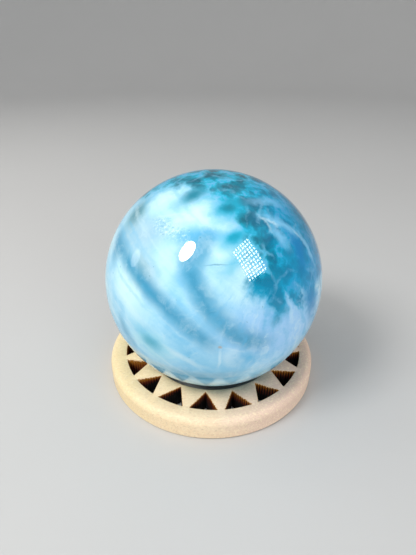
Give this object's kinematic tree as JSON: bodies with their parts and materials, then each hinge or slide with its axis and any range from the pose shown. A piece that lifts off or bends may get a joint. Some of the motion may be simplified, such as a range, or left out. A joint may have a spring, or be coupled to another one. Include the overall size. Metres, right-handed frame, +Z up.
{
  "type": "decorative sphere",
  "caption": "Polished stone sphere of blue, white and teal pattern, standing in a thin pale wooden ring with triangular cut-outs that keeps it from rolling.",
  "frame": {"origin": "on the surface that the object stands on, under the middle of the ring's rim", "axes": "+Z up; the camera side of the object is -Y; the hole, the cut-outs and the sphere are centred 0.5 mm to +X of the rim"},
  "size_m": [0.062, 0.062, 0.06],
  "materials": {
    "polished_stone": "polished",
    "pale_wood": "sanded"
  },
  "bodies": {
    "root": {"stone_sphere": "polished_stone", "ring_stand": "pale_wood"}
  },
  "joints": []
}
